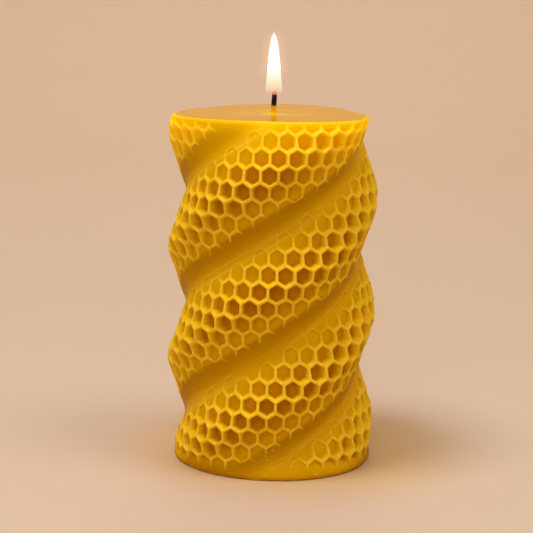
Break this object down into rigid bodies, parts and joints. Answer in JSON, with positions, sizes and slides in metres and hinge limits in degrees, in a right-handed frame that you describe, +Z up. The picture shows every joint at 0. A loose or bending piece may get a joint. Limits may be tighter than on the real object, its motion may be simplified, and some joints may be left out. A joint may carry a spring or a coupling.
{
  "type": "pillar candle",
  "caption": "Lit pillar candle: a twisted three-lobed beeswax casting with honeycomb cells sunk into its lobes, a plied wick and a flame.",
  "frame": {"origin": "centre of the flat base, on the wick's axis", "axes": "+Z up along the wick, -Y towards the front that the lobes were set by, +X to the right of the front"},
  "size_m": [0.0624, 0.0624, 0.1284],
  "materials": {
    "beeswax": "cast beeswax, satin, slightly translucent",
    "molten_wax": "liquid wax, clear and glossy",
    "waxed_cotton": "plied cotton soaked in wax",
    "charred_cotton": "burnt cotton, matt black",
    "glowing_ember": "glowing end of the burnt wick",
    "flame_light": "flame, gives its own light and is partly clear"
  },
  "bodies": {
    "root": {"wax_pillar": "beeswax", "melt_pool": "molten_wax", "wick_ply_1": "waxed_cotton", "wick_ply_2": "waxed_cotton", "wick_ply_3": "waxed_cotton", "wick_charred_end": "charred_cotton", "wick_ember": "glowing_ember", "flame": "flame_light"}
  },
  "joints": []
}
